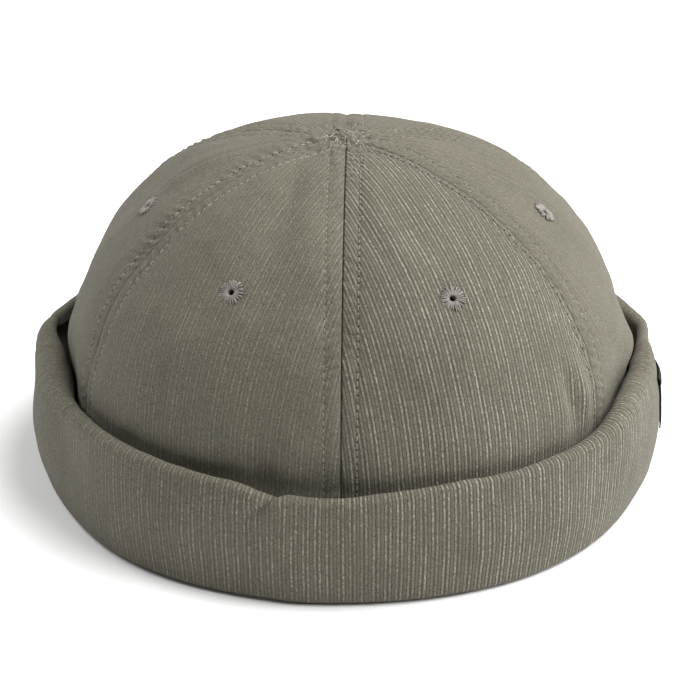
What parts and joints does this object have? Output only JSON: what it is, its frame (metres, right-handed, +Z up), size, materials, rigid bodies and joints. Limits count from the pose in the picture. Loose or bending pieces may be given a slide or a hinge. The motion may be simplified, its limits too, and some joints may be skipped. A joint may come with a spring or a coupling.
{
  "type": "rolled-cuff skullcap",
  "caption": "Brimless cloth skullcap with a six-panel domed crown, stitched eyelets, a rolled turned-up cuff and a small plain side tag.",
  "frame": {"origin": "middle of the ring that the cuff's fold makes on the floor, at floor height", "axes": "+Z up through the crown, -Y towards the front, +X towards the tag on the viewer's right"},
  "size_m": [0.2062, 0.2011, 0.1126],
  "materials": {
    "twill": "olive-grey cotton twill with fine paired light stripes",
    "thread": "pale grey embroidery thread",
    "tape": "plain black woven tape"
  },
  "bodies": {
    "root": {"panel_front_left": "twill", "panel_front_right": "twill", "panel_side_left": "twill", "panel_side_right": "twill", "panel_back_left": "twill", "panel_back_right": "twill", "cuff": "twill", "eyelet_front_left": "thread", "eyelet_front_right": "thread", "eyelet_side_left": "thread", "eyelet_side_right": "thread", "eyelet_back_left": "thread", "eyelet_back_right": "thread", "tag": "tape"}
  },
  "joints": []
}
